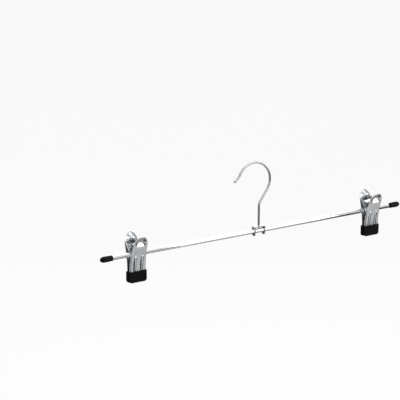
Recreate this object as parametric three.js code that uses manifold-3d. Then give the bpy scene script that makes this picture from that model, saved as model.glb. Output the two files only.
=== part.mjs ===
// Trouser hanger: a chromed bar that hangs from a swivelling wire hook, with two sprung
// clips that slide and swing on it. Each clip is two alike pressed plates, hinged on the
// bar by their own ears, pushed apart at the handles by a coil spring round the bar.
//
// Millimetres. X runs along the bar, Y from the front to the back and Z up. The origin is
// where the hook rests on a wardrobe rail, at the top of the inside of its bend.
import * as THREE from 'three';
import { mergeVertices } from 'three/addons/utils/BufferGeometryUtils.js';
import Module from 'manifold-3d';

const wasm = await Module();
wasm.setup();

// Clearances
const runningGap = 0.3; // between pieces that turn or slide on each other
const sleeveGap = 0.15; // between a jaw and the sleeve dipped on it
const capGap = 0.1; // between the bar and what is pressed on it
const overrun = 1; // how far a cutter reaches past what it cuts

// Bar and its end tips
const barRadius = 2.5;
const barShown = 371; // from tip to tip
const barChamfer = 0.5;
const tipLength = 14.5;
const tipGrip = 11; // how far the bar goes into each tip
const tipMouthRadius = 2.95;
const tipFullRadius = 3.25;
const tipFullAt = 9.5; // from the mouth to the fullest place
const tipSwellShare = 0.7; // of the swelling, reached halfway to the fullest place

// Hook
const wireRadius = 1.25;
const hookRadius = 21; // of the wire's centre line
const hookCentreX = -6.7;
const hookCentreZ = 57.9; // above the bar's centre line
const stemTurnZ = 31; // where the stem's line meets the slanted line
const stemBendRadius = 9;
const hookEndAngle = 155; // degrees round the bend, from the side away from the mouth
const flareRadius = 12;
const flareAngle = 35; // degrees
const flareEnd = 1.3; // straight end of the wire
const hookTipRadius = 1.6;
const stemHeadRadius = 2.3;
const stemHeadHeight = 1;

// Bracket that carries the hook on the bar
const bracketLength = 14;
const bracketWidth = 6.6;
const bracketSheet = 1;
const bracketTopZ = 5.6;
const bracketDrop = 5.5; // from the bar's centre line to the bottom of a tab
const bracketBend = 1.8; // outer radius of the folds

// Clip plate, a tray pressed from one sheet. Depths are in front of the bar's centre line.
const leftClipFromTip = 29; // from a tip's mouth to the middle of the clip beside it
const rightClipFromTip = 28.3;
const sheet = 0.8;
const foldRadius = 1.3; // outer radius between the face and its rim
const handleWidth = 17.6;
const handleTop = 22;
const handleRoundHeight = 13; // of the half ellipse that ends the handle
const handleRoundAngle = 84; // degrees of that round that are drawn, up to the flat top edge
const handleTopDepth = 13.4;
const handleRim = 1.7; // depth of the rim round the handle
const jawWidth = 19.6;
const jawBottom = 30.6; // below the bar's centre line
const jawCorner = 2.2;
const jawCornerAngle = 80; // degrees of its round that are drawn, less what the bottom edge takes
const jawDish = 1.7; // depth of the rim round the jaw
const jawStraightTop = 18; // below the centre line, where the face starts to lean
const earRadius = 4.3;
const earLowerReach = 8; // below the centre line, where the ear's edge starts
const earUpperReach = 13;
const faceControlShares = [[0.33, 0.05], [0.67, 0.5]]; // of the face curve's rise and lean

// Thumb hole with its drawn collar
const thumbWidth = 11;
const thumbHeight = 9;
const thumbCorner = 4.2;
const thumbCentreZ = 11.4;
const collarRise = 1.3;

// Pressed ribs with round heads
const ribSpacing = 8.2;
const ribHalfWidth = 1.75;
const ribRise = 0.75;
const ribTop = 3.2; // below the centre line, where the head starts to round

// Sleeve on each jaw
const sleeveWall = 0.6;
const sleeveHeight = 12.5;
const sleeveFrontRadius = 0.65;
const sleeveGripRadius = 0.3;
const gripGap = 0.3; // between the two sleeves of a closed clip

// Spring
const springWireRadius = 0.7;
const springTurns = 6; // whole turns, less what the two legs take
const springLegRise = 6; // how far above the centre line a leg presses

// Roundness of what is turned or swept
const roundSides = 24;
const wireSides = 12;
const hookSteps = 58;
const arcSegments = 3; // pairs of facets round an arc of a hole or fold
const curveSteps = 6; // along a curve or a quarter turn
const springSides = 5;
const springStepsPerTurn = 8;
const earSteps = 8; // round an ear
const ribSides = 16; // of the round that a rib is a slice of
const weldShare = 0.001; // of the sheet, within which two corners are one

// Sizes that follow from the ones above
const handleHalf = handleWidth / 2;
const jawHalf = jawWidth / 2;
const gripDepth = gripGap / 2;
const jawRimDepth = gripDepth + sleeveWall + sleeveGap;
const jawFaceDepth = jawRimDepth + jawDish;
const sleeveDepth = jawFaceDepth + sleeveGap + sleeveWall;
const sleeveReach = sleeveGap + sleeveWall; // how far a sleeve stands out round its jaw
const sleeveTop = jawBottom + sleeveReach - sleeveHeight; // below the centre line
const handleRoundZ = handleTop - handleRoundHeight; // where the handle's end starts to round
const clipPlaces = { left: leftClipFromTip - barShown / 2, right: barShown / 2 - rightClipFromTip };
const earShift = (sheet + runningGap) / 2; // each plate's, so that the ears lie side by side
const earHoleRadius = barRadius + runningGap;
const railSeatZ = hookCentreZ + hookRadius - wireRadius;

// Materials
const chrome = () => new THREE.MeshStandardMaterial({ color: 0xd9dbde, roughness: 0.12, metalness: 1 });
const sprungSteel = () => new THREE.MeshStandardMaterial({ color: 0xb4b6ba, roughness: 0.3, metalness: 1 });
const blackVinyl = () => new THREE.MeshStandardMaterial({ color: 0x161617, roughness: 0.35, metalness: 0 });

// Solids

/** The closed solid that a geometry bounds, moved by its matrix. */
function solidOf(geometry, matrix = new THREE.Matrix4()) {
  const bare = geometry.clone().applyMatrix4(matrix);
  bare.deleteAttribute('normal');
  bare.deleteAttribute('uv');
  const merged = mergeVertices(bare, sheet * weldShare);
  return new wasm.Manifold(new wasm.Mesh({
    numProp: 3,
    vertProperties: Float32Array.from(merged.attributes.position.array),
    triVerts: Uint32Array.from(merged.index.array),
  }));
}

/** A mesh's geometry from a solid. */
function geometryOf(solid) {
  const { vertProperties, triVerts } = solid.getMesh();
  const geometry = new THREE.BufferGeometry();
  geometry.setAttribute('position', new THREE.BufferAttribute(Float32Array.from(vertProperties), 3));
  geometry.setIndex(new THREE.BufferAttribute(Uint32Array.from(triVerts), 1));
  geometry.computeVertexNormals();
  return geometry;
}

const axisX = new THREE.Vector3(1, 0, 0);
const axisY = new THREE.Vector3(0, 1, 0);
const axisZ = new THREE.Vector3(0, 0, 1);

/** A side-view outline (Y, Z) swept along X between two places. */
function sweptAlongX(shape, from, to) {
  const matrix = new THREE.Matrix4().makeBasis(axisY, axisZ, axisX).setPosition(from, 0, 0);
  return solidOf(new THREE.ExtrudeGeometry(shape, {
    depth: to - from, bevelEnabled: false, curveSegments: arcSegments,
  }), matrix);
}

/** A front-view outline (X, Z) swept along Y between two places, front one first. */
function sweptAlongY(shape, front, back) {
  const matrix = new THREE.Matrix4().makeBasis(axisX, axisZ, axisY.clone().negate()).setPosition(0, back, 0);
  return solidOf(new THREE.ExtrudeGeometry(shape, {
    depth: back - front, bevelEnabled: false, curveSegments: arcSegments,
  }), matrix);
}

/** A round bar along X, centred on the X axis. */
function roundAlongX(radius, from, to) {
  const geometry = new THREE.CylinderGeometry(radius, radius, to - from, roundSides);
  const matrix = new THREE.Matrix4().makeRotationZ(Math.PI / 2).setPosition((from + to) / 2, 0, 0);
  return solidOf(geometry, matrix);
}

/** A round bar along Z, centred on the Z axis. */
function roundAlongZ(radius, from, to) {
  const geometry = new THREE.CylinderGeometry(radius, radius, to - from, roundSides);
  const matrix = new THREE.Matrix4().makeRotationX(Math.PI / 2).setPosition(0, 0, (from + to) / 2);
  return solidOf(geometry, matrix);
}

/** A rectangle with round corners, centred on a point. */
function roundedRectangle(width, height, corner, centreX, centreY) {
  const [right, top] = [width / 2 - corner, height / 2 - corner];
  const quarter = Math.PI / 2;
  const shape = new THREE.Shape();
  shape.absarc(centreX + right, centreY + top, corner, 0, quarter);
  shape.absarc(centreX - right, centreY + top, corner, quarter, 2 * quarter);
  shape.absarc(centreX - right, centreY - top, corner, 2 * quarter, 3 * quarter);
  shape.absarc(centreX + right, centreY - top, corner, 3 * quarter, 4 * quarter);
  return shape;
}

/** A round wire along a curve. */
function wireAlong(curve, radius, sides, steps) {
  const section = new THREE.Shape();
  for (let side = 0; side < sides; side += 1) {
    const angle = (side / sides) * 2 * Math.PI;
    const corner = new THREE.Vector2(Math.cos(angle), Math.sin(angle)).multiplyScalar(radius);
    if (side === 0) section.moveTo(corner.x, corner.y);
    else section.lineTo(corner.x, corner.y);
  }
  return new THREE.ExtrudeGeometry(section, { extrudePath: curve, steps, bevelEnabled: false });
}

/** A named mesh. */
function piece(name, geometry, material) {
  const mesh = new THREE.Mesh(geometry, material);
  mesh.name = name;
  return mesh;
}

// Bar and tips

/** The bar, with a small chamfer at each end. It runs into both tips. */
function crossbar() {
  const half = barShown / 2 + tipGrip;
  const profile = [
    [0, -half], [barRadius - barChamfer, -half], [barRadius, barChamfer - half],
    [barRadius, half - barChamfer], [barRadius - barChamfer, half], [0, half],
  ].map(([radius, along]) => new THREE.Vector2(radius, along));
  const geometry = new THREE.LatheGeometry(profile, roundSides);
  geometry.rotateZ(-Math.PI / 2);
  return piece('crossbar', geometry, chrome());
}

/** A club-shaped vinyl tip, hollow over the bar's end. Side is -1 on the left. */
function tip(name, side) {
  const bore = barRadius + capGap;
  const swell = THREE.MathUtils.lerp(tipMouthRadius, tipFullRadius, tipSwellShare);
  const profile = [
    new THREE.Vector2(0, tipGrip + runningGap),
    new THREE.Vector2(bore, tipGrip + runningGap),
    new THREE.Vector2(bore, 0),
    new THREE.Vector2(tipMouthRadius, 0),
    new THREE.Vector2(swell, tipFullAt / 2),
  ];
  const end = tipLength - tipFullAt;
  for (let step = 0; step < curveSteps; step += 1) {
    const angle = (step / curveSteps) * (Math.PI / 2);
    profile.push(new THREE.Vector2(tipFullRadius * Math.cos(angle), tipFullAt + end * Math.sin(angle)));
  }
  profile.push(new THREE.Vector2(0, tipLength));
  const geometry = new THREE.LatheGeometry(profile, roundSides);
  geometry.rotateZ(-side * Math.PI / 2);
  const mesh = piece(name, geometry, blackVinyl());
  mesh.position.x = side * barShown / 2;
  return mesh;
}

// Hook and its bracket

/** The wire's centre line, drawn in the plane of the hook as lines and arcs. */
function hookLine(startZ) {
  const line = new THREE.Path();
  const toCentre = new THREE.Vector2(hookCentreX, hookCentreZ - stemTurnZ);
  const slant = toCentre.angle() - Math.asin(hookRadius / toCentre.length());
  const turn = Math.PI / 2 - slant;
  const bendStart = stemTurnZ - stemBendRadius * Math.tan(turn / 2);
  line.moveTo(0, startZ);
  line.lineTo(0, bendStart);
  line.absarc(stemBendRadius, bendStart, stemBendRadius, Math.PI, Math.PI - turn, true);
  const endAngle = THREE.MathUtils.degToRad(hookEndAngle);
  line.absarc(hookCentreX, hookCentreZ, hookRadius, slant - Math.PI / 2, endAngle, false);
  const outward = new THREE.Vector2(Math.cos(endAngle), Math.sin(endAngle));
  const flareX = hookCentreX + outward.x * (hookRadius + flareRadius);
  const flareZ = hookCentreZ + outward.y * (hookRadius + flareRadius);
  const lastAngle = endAngle + Math.PI - THREE.MathUtils.degToRad(flareAngle);
  line.absarc(flareX, flareZ, flareRadius, endAngle + Math.PI, lastAngle, true);
  const heading = lastAngle - Math.PI / 2;
  const last = line.currentPoint;
  line.lineTo(last.x + flareEnd * Math.cos(heading), last.y + flareEnd * Math.sin(heading));
  return line;
}

/** A flat path stood up in the XZ plane. */
class UprightCurve extends THREE.Curve {
  constructor(path) {
    super();
    this.path = path;
  }

  getPoint(share, target = new THREE.Vector3()) {
    const point = this.path.getPoint(share);
    return target.set(point.x, 0, point.y);
  }
}

/** The hook: bent wire with a rounded tip, headed under the bracket's top so that it turns there. */
function hook() {
  const headTop = bracketTopZ - bracketSheet - runningGap;
  const headBottom = headTop - stemHeadHeight;
  const line = hookLine((headTop + headBottom) / 2);
  const wire = solidOf(wireAlong(new UprightCurve(line), wireRadius, wireSides, hookSteps));
  const head = roundAlongZ(stemHeadRadius, headBottom, headTop);
  const end = line.currentPoint;
  const ball = new THREE.SphereGeometry(hookTipRadius, wireSides, wireSides / 2);
  const tipEnd = solidOf(ball, new THREE.Matrix4().makeTranslation(end.x, 0, end.y));
  return piece('hook', geometryOf(wire.add(head).add(tipEnd)), chrome());
}

/** The bracket: a folded saddle whose two round-ended tabs sit on the bar. */
function hookBracket() {
  const [half, top, inner] = [bracketLength / 2, bracketTopZ, bracketBend - bracketSheet];
  const [right, quarter] = [half - bracketBend, Math.PI / 2];
  const fold = new THREE.Shape();
  fold.moveTo(half, -bracketDrop);
  fold.absarc(right, top - bracketBend, bracketBend, 0, quarter);
  fold.absarc(-right, top - bracketBend, bracketBend, quarter, 2 * quarter);
  fold.lineTo(-half, -bracketDrop);
  fold.lineTo(bracketSheet - half, -bracketDrop);
  fold.absarc(-right, top - bracketBend, inner, 2 * quarter, quarter, true);
  fold.absarc(right, top - bracketBend, inner, quarter, 0, true);
  fold.lineTo(half - bracketSheet, -bracketDrop);
  const tabRadius = bracketWidth / 2;
  const tab = new THREE.Shape();
  tab.moveTo(tabRadius, top + overrun);
  tab.lineTo(-tabRadius, top + overrun);
  tab.absarc(0, tabRadius - bracketDrop, tabRadius, 2 * quarter, 4 * quarter);
  const solid = sweptAlongY(fold, -tabRadius, tabRadius)
    .intersect(sweptAlongX(tab, -half - overrun, half + overrun))
    .subtract(roundAlongX(barRadius + capGap, -half - overrun, half + overrun))
    .subtract(roundAlongZ(wireRadius + runningGap, top - bracketSheet - overrun, top + overrun));
  return piece('hook_bracket', geometryOf(solid), chrome());
}

// Clip plates

/** The face's depth at a height: upright down the jaw, then leaning out to the handle's top. */
const faceCurve = (() => {
  const [rise, lean] = [handleTop + jawStraightTop, handleTopDepth - jawFaceDepth];
  const at = ([up, out]) => new THREE.Vector2(-jawStraightTop + up * rise, jawFaceDepth + out * lean);
  return new THREE.CubicBezierCurve(at([0, 0]), at(faceControlShares[0]), at(faceControlShares[1]), at([1, 1]));
})();

function faceDepth(z) {
  if (z <= -jawStraightTop) return jawFaceDepth;
  let [low, high] = [0, 1];
  let point = faceCurve.getPoint(high);
  while (Math.abs(point.x - z) > sheet * weldShare && (low + high) / 2 < high) {
    const middle = (low + high) / 2;
    point = faceCurve.getPoint(middle);
    if (point.x < z) low = middle;
    else high = middle;
  }
  return point.y;
}

/** The side view of the rim's edge, as [height, depth] from the jaw's bottom to the handle's top. */
function rimLine() {
  const lower = new THREE.Vector2(-earLowerReach, jawRimDepth);
  const upper = new THREE.Vector2(earUpperReach, faceDepth(earUpperReach) - handleRim);
  const slack = (point) => Math.acos(earRadius / point.length());
  const from = lower.angle() + slack(lower);
  const to = upper.angle() - slack(upper) + 2 * Math.PI;
  const line = [[-jawBottom - overrun, jawRimDepth], [lower.x, lower.y]];
  for (let step = 0; step <= earSteps; step += 1) {
    const angle = from + (to - from) * (step / earSteps);
    line.push([earRadius * Math.cos(angle), earRadius * Math.sin(angle)]);
  }
  for (let step = 0; step <= curveSteps; step += 1) {
    const z = earUpperReach + (handleTop - earUpperReach) * (step / curveSteps);
    line.push([z, faceDepth(z) - handleRim]);
  }
  return line;
}

const rim = rimLine();

function rimDepth(z) {
  const next = Math.max(1, rim.findIndex(([height]) => height >= z));
  const [[z0, depth0], [z1, depth1]] = [rim[next - 1], rim[next]];
  return depth0 + (depth1 - depth0) * ((z - z0) / (z1 - z0));
}

/** Points on an arc, as [x, z], both ends included. */
function arcPoints(centreX, centreZ, radius, from, to, steps) {
  return Array.from({ length: steps + 1 }, (_, step) => {
    const angle = THREE.MathUtils.degToRad(from + (to - from) * (step / steps));
    return [centreX + radius * Math.cos(angle), centreZ + radius * Math.sin(angle)];
  });
}

/** The right half of the jaw's outline from its bottom corner up to a height. */
function jawOutline(topZ) {
  const corner = arcPoints(
    jawHalf - jawCorner, jawCorner - jawBottom, jawCorner, -jawCornerAngle, 0, arcSegments);
  return [...corner, [jawHalf, topZ]];
}

/** The half width of a plate between its jaw and its handle's end. */
function sideHalf(z) {
  const share = (z + jawStraightTop) / (handleRoundZ + jawStraightTop);
  return THREE.MathUtils.lerp(jawHalf, handleHalf, THREE.MathUtils.clamp(share, 0, 1));
}

/** The right half of a plate's outline, bottom to top, as [x, z]. */
function plateOutline() {
  const heights = rim.map(([height]) => height)
    .filter((height) => height > -earLowerReach - runningGap && height < handleRoundZ);
  const stretch = handleRoundHeight / handleHalf;
  const end = arcPoints(0, 0, handleHalf, 0, handleRoundAngle, 2 * curveSteps);
  return [
    ...jawOutline(-sleeveTop),
    [jawHalf, -jawStraightTop],
    ...[(-jawStraightTop - earLowerReach) / 2, ...heights].map((z) => [sideHalf(z), z]),
    ...end.map(([x, z]) => [x, handleRoundZ + z * stretch]),
  ];
}

/** The outward direction at each outline point, level at the last one if the top is cut square. */
function outwardDirections(outline, squareTop) {
  return outline.map((_, index) => {
    const [x0, z0] = outline[Math.max(index - 1, 0)];
    const [x1, z1] = outline[Math.min(index + 1, outline.length - 1)];
    if (squareTop && index === outline.length - 1) return new THREE.Vector2(1, 0);
    return new THREE.Vector2(z1 - z0, x0 - x1).normalize();
  });
}

/**
 * A solid skinned over rings that follow one mirrored outline. Each ring has an inset from
 * the outline and its depth as a function of height. Rungs across the first ring close the
 * front, and rungs across the last one close the back.
 */
function skinnedSolid(outline, rings, squareTop = false) {
  const outward = outwardDirections(outline, squareTop);
  const positions = [];
  rings.forEach(({ inset, depth }) => {
    const half = outline.map(([x, z], index) => {
      const [ringX, ringZ] = [x - inset * outward[index].x, z - inset * outward[index].y];
      return [ringX, -depth(ringZ), ringZ];
    });
    half.forEach((point) => positions.push(...point));
    half.reverse().forEach(([x, y, z]) => positions.push(-x, y, z));
  });
  const count = 2 * outline.length;
  const faces = [];
  for (let ring = 0; ring < rings.length - 1; ring += 1) {
    for (let point = 0; point < count; point += 1) {
      const [here, next] = [ring * count + point, ring * count + ((point + 1) % count)];
      faces.push(here, here + count, next + count, here, next + count, next);
    }
  }
  const last = (rings.length - 1) * count;
  for (let rung = 0; rung < outline.length - 1; rung += 1) {
    const [right, left] = [rung, count - 1 - rung];
    faces.push(right, right + 1, left - 1, right, left - 1, left);
    faces.push(last + right, last + left, last + left - 1, last + right, last + left - 1, last + right + 1);
  }
  const geometry = new THREE.BufferGeometry();
  geometry.setAttribute('position', new THREE.Float32BufferAttribute(positions, 3));
  geometry.setIndex(faces);
  return solidOf(geometry);
}

/** Rings round a fold, from the face to the side, for an outer radius less a wall. */
function foldRings(radius, wall, steps, surface) {
  return Array.from({ length: steps + 1 }, (_, step) => {
    const angle = (step / steps) * (Math.PI / 2);
    const [inset, drop] = [
      radius - (radius - wall) * Math.sin(angle),
      radius - (radius - wall) * Math.cos(angle),
    ];
    return { inset, depth: (z) => surface(z) - drop };
  });
}

/** The bare tray: face, fold and rim all round, with the rim drawn out into the ears. */
function plateTray() {
  return skinnedSolid(plateOutline(), [
    ...foldRings(foldRadius, 0, 2, faceDepth),
    { inset: 0, depth: rimDepth },
    { inset: sheet, depth: rimDepth },
    ...foldRings(foldRadius, sheet, 1, faceDepth).reverse(),
  ]);
}

/** A prism square to the leaning face at a height, from inside the plate to a rise in front of it. */
function acrossFace(shape, z, inward, rise) {
  const lean = (faceDepth(z + sheet) - faceDepth(z - sheet)) / (2 * sheet);
  const out = new THREE.Vector3(0, -1, -lean).normalize();
  const up = new THREE.Vector3(0, -lean, 1).normalize();
  const foot = new THREE.Vector3(0, -faceDepth(z), z).addScaledVector(out, -inward);
  const matrix = new THREE.Matrix4().makeBasis(axisX, up, out).setPosition(foot);
  const geometry = new THREE.ExtrudeGeometry(shape, {
    depth: inward + rise, bevelEnabled: false, curveSegments: arcSegments,
  });
  return solidOf(geometry, matrix);
}

/** A line that follows the face down a rib, at a depth behind the face. */
function ribLine(x, behind) {
  const end = sleeveTop - runningGap;
  const points = Array.from({ length: curveSteps + 1 }, (_, step) => {
    const z = -ribTop - (end - ribTop) * (step / curveSteps);
    return new THREE.Vector3(x, behind - faceDepth(z), z);
  });
  return new THREE.CatmullRomCurve3(points);
}

/** A pressed rib with a round head: what stands out of the face, and the hollow behind it. */
function rib(x) {
  const radius = (ribHalfWidth ** 2 + ribRise ** 2) / (2 * ribRise);
  const sunk = radius - ribRise;
  const round = (behind) => {
    const line = ribLine(x, behind);
    const head = line.getPoint(0);
    const ball = new THREE.SphereGeometry(radius, ribSides, ribSides / 2);
    return solidOf(wireAlong(line, radius, ribSides, curveSteps))
      .add(solidOf(ball, new THREE.Matrix4().makeTranslation(head.x, head.y, head.z)));
  };
  const front = new THREE.Shape();
  const heights = Array.from({ length: 2 * curveSteps + 1 }, (_, step) => (
    overrun - (jawBottom + overrun) * (step / (2 * curveSteps))));
  front.moveTo(-sleeveDepth - handleTopDepth, heights[0]);
  heights.forEach((z) => front.lineTo(sheet / 2 - faceDepth(z), z));
  front.lineTo(-sleeveDepth - handleTopDepth, heights[heights.length - 1]);
  const ahead = sweptAlongX(front, x - radius - overrun, x + radius + overrun);
  return { bead: round(sunk).intersect(ahead), hollow: round(sunk + sheet) };
}

/** One plate of a clip, made as the front one. */
function clipPlate(name) {
  const thumbHole = (grow) => roundedRectangle(
    thumbWidth + 2 * grow, thumbHeight + 2 * grow, thumbCorner + grow, 0, 0);
  let solid = plateTray();
  solid = solid.add(acrossFace(thumbHole(sheet), thumbCentreZ, sheet / 2, collarRise));
  for (const side of [-1, 1]) {
    const { bead, hollow } = rib(side * ribSpacing / 2);
    solid = solid.add(bead).subtract(hollow);
  }
  solid = solid
    .subtract(acrossFace(thumbHole(0), thumbCentreZ, sheet + overrun, collarRise + overrun))
    .subtract(roundAlongX(earHoleRadius, -jawHalf - overrun, jawHalf + overrun));
  return piece(name, geometryOf(solid), chrome());
}

/** The vinyl sleeve dipped on a jaw: a pocket with round edges, flat where it grips. */
function sleeve(name) {
  const outline = jawOutline(-sleeveTop);
  const body = skinnedSolid(outline, [
    ...foldRings(sleeveFrontRadius, 0, 2, () => sleeveDepth)
      .map(({ inset, depth }) => ({ inset: inset - sleeveReach, depth })),
    { inset: -sleeveReach, depth: () => gripDepth + sleeveGripRadius },
    { inset: sleeveGripRadius - sleeveReach, depth: () => gripDepth },
  ], true);
  const pocket = skinnedSolid(jawOutline(overrun - sleeveTop), [
    { inset: -sleeveGap, depth: () => jawFaceDepth + sleeveGap },
    { inset: -sleeveGap, depth: () => jawRimDepth - sleeveGap },
  ], true);
  return piece(name, geometryOf(body.subtract(pocket)), blackVinyl());
}

// Spring

/** A coil round the bar, from one angle to another, running along X. */
class CoilCurve extends THREE.Curve {
  constructor(radius, fromX, toX, fromAngle, toAngle) {
    super();
    Object.assign(this, { radius, fromX, toX, fromAngle, toAngle });
  }

  getPoint(share, target = new THREE.Vector3()) {
    const angle = THREE.MathUtils.lerp(this.fromAngle, this.toAngle, share);
    const x = THREE.MathUtils.lerp(this.fromX, this.toX, share);
    return target.set(x, this.radius * Math.cos(angle), this.radius * Math.sin(angle));
  }
}

/** The least distance between two stretches of a curve that are over a third of a turn apart. */
function leastSelfGap(curve, wire, turnLength) {
  const samples = Math.round((curve.getLength() / turnLength) * springStepsPerTurn * 3);
  const points = curve.getSpacedPoints(samples);
  const apart = springStepsPerTurn;
  let least = Infinity;
  points.forEach((point, index) => {
    points.slice(index + apart).forEach((other) => {
      least = Math.min(least, point.distanceTo(other));
    });
  });
  return least - 2 * wire;
}

/** The torsion spring: coils round the bar between the ears, and a leg to each plate's handle. */
function spring(name) {
  const radius = barRadius + runningGap + springWireRadius;
  const room = sideHalf(springLegRise) - sheet - earShift; // from the middle to the inner ear
  const end = room - runningGap - springWireRadius;
  const reach = faceDepth(springLegRise) - sheet - runningGap - springWireRadius;
  const tip = new THREE.Vector2(reach, springLegRise);
  const meet = tip.angle() + Math.acos(radius / tip.length());
  const turning = 2 * Math.PI * springTurns - (2 * meet - Math.PI);
  const tangent = (x, angle) => new THREE.Vector3(x, radius * Math.cos(angle), radius * Math.sin(angle));
  const start = Math.PI - meet;
  const curve = new THREE.CurvePath();
  const coil = new CoilCurve(radius, -end, end, start, start - turning);
  curve.add(new THREE.LineCurve3(new THREE.Vector3(-end, -reach, springLegRise), tangent(-end, start)));
  curve.add(coil);
  curve.add(new THREE.LineCurve3(tangent(end, meet), new THREE.Vector3(end, reach, springLegRise)));
  const turnLength = coil.getLength() / (turning / (2 * Math.PI));
  const steps = Math.round((curve.getLength() / turnLength) * springStepsPerTurn);
  const gap = leastSelfGap(curve, springWireRadius, turnLength);
  console.log(`${name}: least gap between its curls ${gap.toFixed(3)}`);
  return piece(name, wireAlong(curve, springWireRadius, springSides, steps), sprungSteel());
}

// Assembly

/** A clip at its place on the bar. The back plate is the front one turned round. */
function clip(side) {
  const front = new THREE.Group();
  front.position.x = earShift;
  front.add(clipPlate(`${side}_front_jaw`), sleeve(`${side}_front_sleeve`));
  const back = new THREE.Group();
  back.position.x = -earShift;
  back.rotation.z = Math.PI;
  back.add(clipPlate(`${side}_back_jaw`), sleeve(`${side}_back_sleeve`));
  const group = new THREE.Group();
  group.add(front, back, spring(`${side}_spring`));
  return group;
}

const hanger = new THREE.Group();
hanger.position.set(-hookCentreX, 0, -railSeatZ);
hanger.add(hook(), hookBracket(), crossbar(), tip('left_tip', -1), tip('right_tip', 1));
for (const [side, x] of Object.entries(clipPlaces)) {
  const placed = clip(side);
  placed.position.x = x;
  hanger.add(placed);
}

const trouserHanger = new THREE.Group();
trouserHanger.add(hanger);

export default trouserHanger;
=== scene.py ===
"""Looks of a trouser hanger: chromed bar, wire hook, two sprung clips, vinyl sleeves and tips.

Every size is in millimetres in the classes below and becomes metres when a mesh is finished.
A piece is drawn about the bar's middle (X along the bar, Y to the back, Z up) and then moved
to the part's own frame, whose origin is where the hook rests on its rail.
"""

import logging
from dataclasses import dataclass
from enum import Enum
from math import acos, asin, atan2, copysign, cos, hypot, pi, radians, sin, sqrt, tan, tau
from typing import Callable, Union

import bmesh
import bpy
from mathutils import Matrix, Vector


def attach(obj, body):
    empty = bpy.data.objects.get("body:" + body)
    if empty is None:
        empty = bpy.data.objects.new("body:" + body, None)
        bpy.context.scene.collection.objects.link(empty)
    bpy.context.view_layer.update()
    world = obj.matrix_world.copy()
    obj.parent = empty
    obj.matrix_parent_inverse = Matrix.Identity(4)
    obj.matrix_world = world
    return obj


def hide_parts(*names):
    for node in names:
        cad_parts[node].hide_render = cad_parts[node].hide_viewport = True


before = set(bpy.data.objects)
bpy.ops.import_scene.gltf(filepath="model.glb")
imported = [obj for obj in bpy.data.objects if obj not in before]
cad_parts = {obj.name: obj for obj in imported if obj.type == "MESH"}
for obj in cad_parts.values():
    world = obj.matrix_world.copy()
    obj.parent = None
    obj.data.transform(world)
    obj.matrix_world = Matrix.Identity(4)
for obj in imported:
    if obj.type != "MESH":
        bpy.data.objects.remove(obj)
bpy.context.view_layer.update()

LOG = logging.getLogger("trouser_hanger")
MM = 0.001
TINY = 0.001  # mm, a step that is as good as square, and the slack in finding a level
NEAR = 0.01  # mm, the slack in finding corners
LEVEL = 0.9  # the least upward part of a normal that counts as upright
BAR_MIDDLE = Vector((6.7, 0.0, -77.65))  # the bar's middle in the part's frame, mm
CLIP_PLACES = (("left", -156.5), ("right", 157.2))  # from the bar's middle, mm
X, Y, Z = Vector((1, 0, 0)), Vector((0, 1, 0)), Vector((0, 0, 1))

Value = Union[float, tuple, Vector, bpy.types.NodeSocket]
Mesh, Vert, Edge = bmesh.types.BMesh, bmesh.types.BMVert, bmesh.types.BMEdge
Thing = bpy.types.Object
Placer = Callable[[Vert], Vector]


# ------ finishes


def linear(code: str) -> tuple[float, float, float, float]:
    """Turn an sRGB hex colour into linear RGBA.

    Args:
        code: the colour as "#RRGGBB".

    Returns:
        Red, green, blue and alpha, each from 0 to 1.
    """
    parts = [int(code[i:i + 2], 16) / 255 for i in (1, 3, 5)]
    red, green, blue = (c / 12.92 if c <= 0.04045 else ((c + 0.055) / 1.055) ** 2.4 for c in parts)
    return red, green, blue, 1.0


def add_node(tree: bpy.types.NodeTree, kind: str, inputs: dict[str, Value] | None = None,
             **settings: object) -> bpy.types.Node:
    """Add a node with its settings, its fixed values and its links.

    Args:
        tree: the node tree that the node joins.
        kind: the node's Blender type, without the "ShaderNode" before it.
        inputs: value or feeding socket for each named or numbered input.
        **settings: the node's own properties.

    Returns:
        The new node.
    """
    node = tree.nodes.new(f"ShaderNode{kind}")
    for name, value in settings.items():
        setattr(node, name, value)
    for name, value in (inputs or {}).items():
        socket = node.inputs[int(name)] if name.isdigit() else node.inputs[name]
        if isinstance(value, bpy.types.NodeSocket):
            tree.links.new(value, socket)
        else:
            socket.default_value = value
    return node


def per_metre(size_mm: float) -> float:
    """Noise scale, in features per metre, for features of a real size."""
    return 1.0 / (size_mm * MM)


class Grain(Enum):
    """How the surface marks of a finish lie."""

    EVEN = (1.0, 1.0, 1.0)
    ALONG_BAR = (0.05, 1.0, 1.0)  # drawn along X, so the marks are stretched that way
    ALONG_STEM = (1.0, 1.0, 0.08)


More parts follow.
